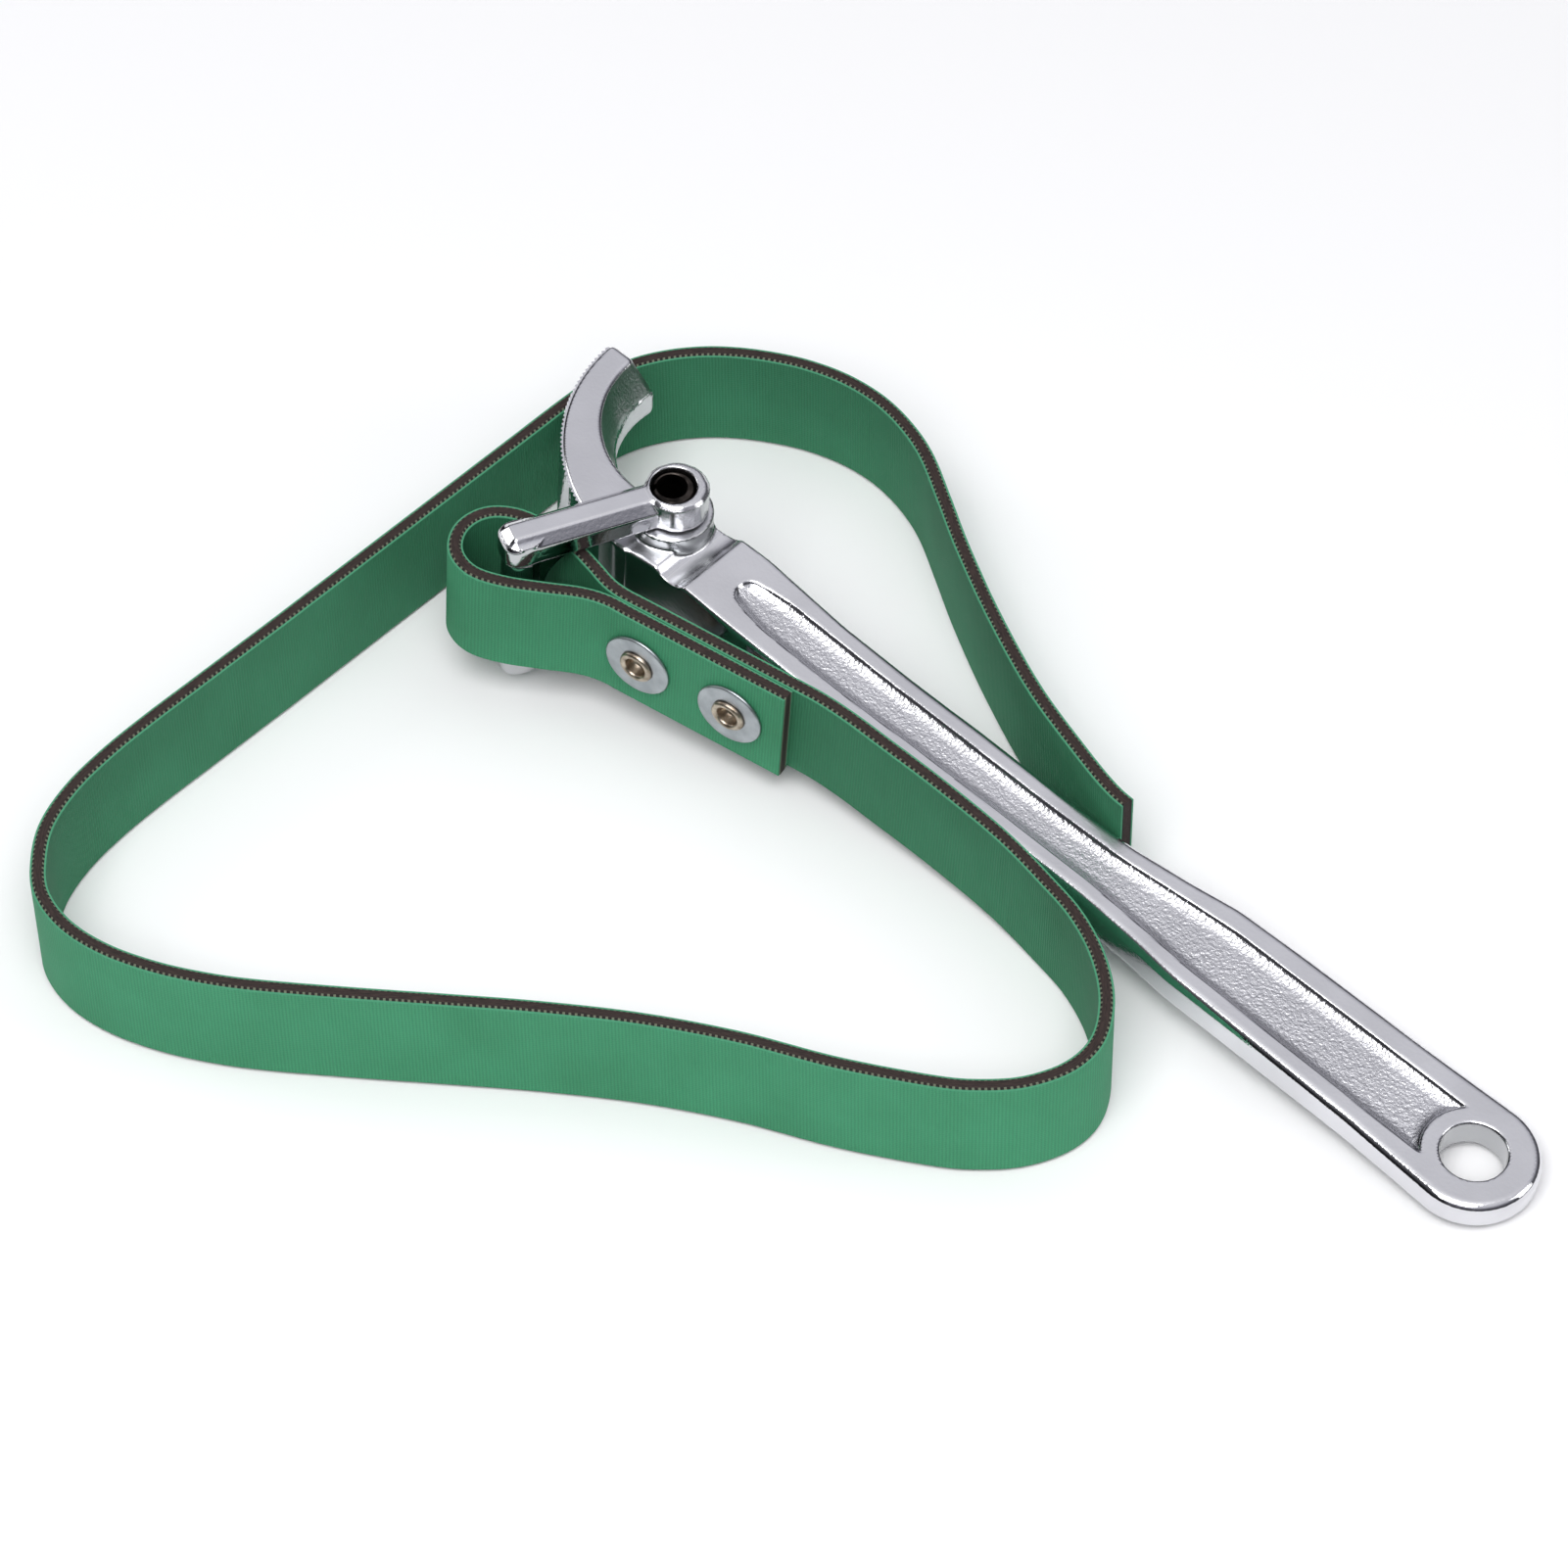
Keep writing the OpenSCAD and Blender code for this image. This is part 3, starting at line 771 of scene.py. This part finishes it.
def green_material(name, depth):
    """Rubbered fabric: a fine ribbed weave, mottled a little, with worn high threads."""
    mat, tree, bsdf = new_material(name)
    uv = tree.nodes.new("ShaderNodeUVMap")
    uv.uv_map = "belt"
    ribs = tree.nodes.new("ShaderNodeTexWave")
    ribs.wave_type, ribs.bands_direction, ribs.wave_profile = "BANDS", "X", "SIN"
    ribs.inputs["Scale"].default_value = 46
    ribs.inputs["Distortion"].default_value = 1.2
    ribs.inputs["Detail"].default_value = 1
    tree.links.new(uv.outputs["UV"], ribs.inputs["Vector"])
    weft = tree.nodes.new("ShaderNodeTexWave")
    weft.wave_type, weft.bands_direction, weft.wave_profile = "BANDS", "Y", "SIN"
    weft.inputs["Scale"].default_value = 5.5
    weft.inputs["Distortion"].default_value = 1.0
    tree.links.new(uv.outputs["UV"], weft.inputs["Vector"])
    coord = tree.nodes.new("ShaderNodeTexCoord").outputs["Object"]
    blotch = noise_node(tree, 45, 4, coord)
    # depth scales the whole green; a value below 1 paints shade onto that face
    shade = ramp_node(tree, blotch.outputs["Fac"],
                      [(0.3, (0.052 * depth, 0.275 * depth, 0.137 * depth)),
                       (0.7, (0.064 * depth, 0.33 * depth, 0.17 * depth))])
    mix = tree.nodes.new("ShaderNodeMixRGB")
    mix.blend_type = "MULTIPLY"
    mix.inputs["Fac"].default_value = 0.4
    thread = ramp_node(tree, ribs.outputs["Fac"], [(0.2, (0.62,)), (0.75, (1.0,))])
    tree.links.new(shade.outputs["Color"], mix.inputs["Color1"])
    tree.links.new(thread.outputs["Color"], mix.inputs["Color2"])
    tree.links.new(mix.outputs["Color"], bsdf.inputs["Base Color"])
    bsdf.inputs["Roughness"].default_value = 0.7
    bsdf.inputs["Specular IOR Level"].default_value = 0.22
    fuzz = noise_node(tree, 1400, 2, coord)
    one = bump_node(tree, ribs.outputs["Fac"], 0.00007)
    two = bump_node(tree, weft.outputs["Fac"], 0.00004, after=one)
    three = bump_node(tree, fuzz.outputs["Fac"], 0.00006, after=two)
    tree.links.new(three.outputs["Normal"], bsdf.inputs["Normal"])
    return mat


def edge_material():
    """The belt's cut edge: a brown core, a row of dark tooth plies on each side of it
    with pale threads between them, and a line of green at each face."""
    mat, tree, bsdf = new_material("belt_edge")
    uv = tree.nodes.new("ShaderNodeUVMap")
    uv.uv_map = "edge"
    split = tree.nodes.new("ShaderNodeSeparateXYZ")
    tree.links.new(uv.outputs["UV"], split.inputs[0])

    def math_node(kind, *values):
        node = tree.nodes.new("ShaderNodeMath")
        node.operation = kind
        for slot, value in zip(node.inputs, values):
            if isinstance(value, (int, float)):
                slot.default_value = value
            else:
                tree.links.new(value, slot)
        return node.outputs[0]

    across = math_node("ABSOLUTE", split.outputs["Y"])
    turn = math_node("MULTIPLY_ADD", split.outputs["X"], MM_ALONG / (2 * PLY_STEP), across)
    part = math_node("FRACT", turn)
    tooth = math_node("GREATER_THAN", part, 0.42)
    coord = tree.nodes.new("ShaderNodeTexCoord").outputs["Object"]
    specks = noise_node(tree, 1600, 2, coord)
    stretch = tree.nodes.new("ShaderNodeVectorMath")
    stretch.operation = "MULTIPLY"
    stretch.inputs[1].default_value = (40, 55, 1)
    tree.links.new(uv.outputs["UV"], stretch.inputs[0])
    streaks = noise_node(tree, 1, 3, stretch.outputs["Vector"])
    core = ramp_node(tree, streaks.outputs["Fac"],
                     [(0.35, (0.012, 0.007, 0.006)), (0.65, (0.040, 0.024, 0.020))])
    fringe = tree.nodes.new("ShaderNodeMixRGB")
    fringe.inputs["Color1"].default_value = (0.13, 0.145, 0.1, 1)
    fringe.inputs["Color2"].default_value = (0.009, 0.007, 0.006, 1)
    tree.links.new(tooth, fringe.inputs["Fac"])
    inner = tree.nodes.new("ShaderNodeMixRGB")
    tree.links.new(math_node("GREATER_THAN", across, 0.082), inner.inputs["Fac"])
    tree.links.new(core.outputs["Color"], inner.inputs["Color1"])
    tree.links.new(fringe.outputs["Color"], inner.inputs["Color2"])
    outer = tree.nodes.new("ShaderNodeMixRGB")
    tree.links.new(math_node("GREATER_THAN", across, 0.121), outer.inputs["Fac"])
    tree.links.new(inner.outputs["Color"], outer.inputs["Color1"])
    outer.inputs["Color2"].default_value = (0.06, 0.28, 0.15, 1)
    tree.links.new(outer.outputs["Color"], bsdf.inputs["Base Color"])
    bsdf.inputs["Roughness"].default_value = 0.85
    rough = bump_node(tree, specks.outputs["Fac"], 0.00012)
    tree.links.new(rough.outputs["Normal"], bsdf.inputs["Normal"])
    return mat


def cut_holes(obj):
    """Cuts the rivets' holes through the doubled belt."""
    for i in (0, 1):
        bpy.ops.mesh.primitive_cylinder_add(
            vertices=48, radius=(SHANK_R + 0.1) * MM, depth=12 * MM)
        tool = bpy.context.object
        tool.matrix_world = rivet_place(i) @ Matrix.Translation((0, 0, 3 * MM))
        cut = obj.modifiers.new("hole", "BOOLEAN")
        cut.operation, cut.solver, cut.object = "DIFFERENCE", "EXACT", tool
        bpy.context.view_layer.objects.active = obj
        bpy.ops.object.modifier_apply(modifier=cut.name)
        bpy.data.objects.remove(tool)


def make_belt():
    """The belt in three strips, cut from its line at two places on the front and back runs."""
    line, up, along = belt_line()
    # The inner face is the same green made darker (0.68): painted shade for the loop's inner faces,
    # which get less light
    greens = [green_material("belt_outer_face", 1.0), green_material("belt_inner_face", 0.68)]
    edge = edge_material()
    front, back = nearest(line, FRONT_CUT), nearest(line, BACK_CUT)
    # Name, ends on the line, runs, the two bodies, and where the blend starts and ends:
    # in mm from the pin's axis, along a direction
    spans = [("belt_loop_and_front", 0, front, ["loop", "front"], "belt_loop", "belt_front",
              (74, 92), (0.6, -0.8)),
             ("belt_front_and_back", front, back, ["back"], "belt_front", "belt_back",
              (-114, -100), (-0.5, 0.866)),
             ("belt_back_and_tail", back, len(line) - 1, ["tail"], "belt_back", "belt_tail",
              (-72, -48), (0, 1))]
    for name, first, last, runs, before, after, reach, way in spans:
        mesh = belt_strip(name, line, up, along, first, last)
        nodes = [run + part for run in runs for part in ("_core", "_outer_face", "_inner_face")]
        for material in (greens[0], edge, greens[1]):
            mesh.materials.append(material)
        obj = bpy.data.objects.new(name, mesh)
        bpy.context.scene.collection.objects.link(obj)
        if first == 0:
            cut_holes(obj)
        shade_evenly(obj.data, line, up)
        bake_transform(obj)
        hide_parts(*nodes)


# ---------------------------------------------------------------- rivets and pin

# The riveted stretch of the doubled belt: its middle, direction and thickness
STACK_AT = np.array([30, -20.85])
STACK_DIR = math.radians(10.6)
STACK_T = BELT_T + 3.34
RIVET_PLACES = [-15.2, 6.8]
SHANK_R = 2.6
CUP_DEPTH = 0.9
WASHER_T = 0.9
WASHER_GAP = 0.05


def rivet_place(i):
    """The frame of one rivet: its axis is +Z, from the near face of the riveted stack."""
    way = np.array([math.cos(STACK_DIR), math.sin(STACK_DIR)])
    left = np.array([-way[1], way[0]])
    foot = STACK_AT + RIVET_PLACES[i] * way - BELT_T / 2 * left
    origin = to_row([[foot[0], foot[1], 0]])[0]
    axes = tilt_only([[way[0], way[1], 0], [0, 0, -1], [left[0], left[1], 0]])
    place = Matrix(axes.T.tolist()).to_4x4()
    place.translation = origin
    return place


def lathe(name, profile, place, wobble=None):
    """A closed turned shape from (radius, height) points in mm, set in a frame."""
    segments = 72
    points, faces = [], []
    n = len(profile)
    for k in range(segments):
        turn = 2 * math.pi * k / segments
        for j, (r, z) in enumerate(profile):
            grow = 1 + (wobble(j, turn) if wobble else 0)
            points.append(place @ Vector((r * grow * math.cos(turn) * MM,
                                          r * grow * math.sin(turn) * MM, z * MM)))
    for k in range(segments):
        m = (k + 1) % segments
        for j in range(n):
            i = (j + 1) % n
            faces.append((k * n + j, m * n + j, m * n + i, k * n + i))
    mesh = bpy.data.meshes.new(name)
    mesh.from_pydata(points, [], faces)
    mesh.polygons.foreach_set("use_smooth", [True] * len(faces))
    mesh.update()
    return mesh


def arc(centre, radius, start, end, n):
    """A profile's n points round a centre, between two angles in degrees."""
    return [(centre[0] + radius * math.cos(math.radians(a)),
             centre[1] + radius * math.sin(math.radians(a)))
            for a in np.linspace(start, end, n)]


def metal(name, low, high, rough, bump, scale):
    """Plated metal with a cloudy tint and fine scratches."""
    mat, tree, bsdf = new_material(name)
    coord = tree.nodes.new("ShaderNodeTexCoord").outputs["Object"]
    cloud = noise_node(tree, scale, 4, coord)
    shade = ramp_node(tree, cloud.outputs["Fac"], [(0.35, low), (0.65, high)])
    tree.links.new(shade.outputs["Color"], bsdf.inputs["Base Color"])
    bsdf.inputs["Metallic"].default_value = 1
    bsdf.inputs["Roughness"].default_value = rough
    grain = noise_node(tree, 2200, 2, coord)
    fine = bump_node(tree, grain.outputs["Fac"], bump)
    tree.links.new(fine.outputs["Normal"], bsdf.inputs["Normal"])
    return mat


def make_rivets():
    """Two rivets with rolled rims, a washer under each rim and under each back head."""
    nickel = metal("rivet_nickel", (0.24, 0.19, 0.145), (0.58, 0.50, 0.41), 0.34, 0.00004, 500)
    plate = metal("washer_plate", (0.34, 0.36, 0.385), (0.45, 0.475, 0.5), 0.38, 0.00003, 300)
    for i in (0, 1):
        place = rivet_place(i)
        for side, z in (("front", -WASHER_GAP - WASHER_T), ("back", STACK_T + WASHER_GAP)):
            out = -1 if side == "front" else 1
            face = z if side == "front" else z + WASHER_T
            inner = face - out * WASHER_T
            profile = [(SHANK_R, inner), (7.1, inner), (7.4, inner + out * 0.15),
                       (7.5, face - out * 0.45), (7.38, face - out * 0.15), (7.1, face),
                       (5.6, face - out * 0.05), (4.3, face - out * 0.06),
                       (SHANK_R, face)]
            if out < 0:
                profile = profile[::-1]
            mesh = lathe(f"{side}_washer_plate_{i + 1}", profile[::-1], place)
            add_object(mesh.name, mesh, plate, "belt_loop", "washer_steel",
                       f"{side}_washer_{i + 1}")
        top = -WASHER_GAP - WASHER_T
        deep = CUP_DEPTH
        back = STACK_T + WASHER_GAP + WASHER_T
        profile = arc((3.0, top - 0.1), 0.72, 180, 360, 15)
        profile = [(1.7, deep), (1.98, 0.6), (2.16, -0.3)] + profile
        profile += [(3.72, top), (SHANK_R, top + 0.02), (SHANK_R, back - 0.02), (5.1, back),
                    (5.2, back + 0.25), (4.9, back + 0.6), (3.8, back + 0.84),
                    (0.01, back + 0.9), (0.01, deep - 0.35), (0.7, deep - 0.2)]
        phase = 1.3 * i

        def pinch(j, turn, phase=phase):
            """Uneven rolling: the back head most, and the rim's outer half less."""
            return (0.05 * math.sin(2 * turn + phase) + 0.03 * math.sin(5 * turn)) \
                * (1 if j < 8 else 0.4 if j < 17 else 0)

        mesh = lathe(f"tubular_rivet_{i + 1}", profile[::-1], place, wobble=pinch)
        add_object(mesh.name, mesh, nickel, "belt_loop", "rivet_nickel", f"rivet_{i + 1}")


def make_pin():
    """The slotted spring pin: a rolled sheet with broken edges."""
    black = metal("pin_black", (0.016, 0.014, 0.013), (0.065, 0.055, 0.049), 0.36, 0.00006, 400)
    outer, inner, slot, length = PIN_R, 3.1, math.radians(12), 42.0
    middle = math.radians(225)
    # The bore is a little off the middle, so that the rolled wall looks uneven
    off_x, off_y = -0.5, 0.1
    turns = np.linspace(middle + slot, middle + 2 * math.pi - slot, 61)
    rings = []
    # Height, and how far the wall is cut back there from outside and from inside
    for z, out, into in [(-length / 2, 0.55, 0.3), (-length / 2 + 0.15, 0.4, 0.1),
                         (-length / 2 + 0.9, 0, 0), (length / 2 - 0.9, 0, 0),
                         (length / 2 - 0.15, 0.4, 0.1), (length / 2, 0.55, 0.3)]:
        ring = [((outer - out) * math.cos(t), (outer - out) * math.sin(t), z) for t in turns]
        ring += [((inner + into) * math.cos(t) + off_x, (inner + into) * math.sin(t) + off_y, z)
                 for t in turns[::-1]]
        rings.append(ring)
    n = len(rings[0])
    faces = [(i * n + k, i * n + (k + 1) % n, (i + 1) * n + (k + 1) % n, (i + 1) * n + k)
             for i in range(len(rings) - 1) for k in range(n)]
    half = len(turns)
    top = (len(rings) - 1) * n
    for k in range(half - 1):
        faces.append((k + 1, k, n - 1 - k, n - 2 - k))
        faces.append((top + k, top + k + 1, top + n - 2 - k, top + n - 1 - k))
    mesh = bpy.data.meshes.new("spring_pin")
    mesh.from_pydata(to_row([p for ring in rings for p in ring]).tolist(), [], faces)
    mesh.update()
    add_object("spring_pin", mesh, black, "shackle", "pin_black", "pivot_pin")


steel = chrome("chrome_plate", (0.76, 0.76, 0.79), 0.09)
make_handle(steel)
make_teeth(steel)
make_shackle(steel)
make_belt()
make_rivets()
make_pin()

add_camera()
add_floor()
add_lights()
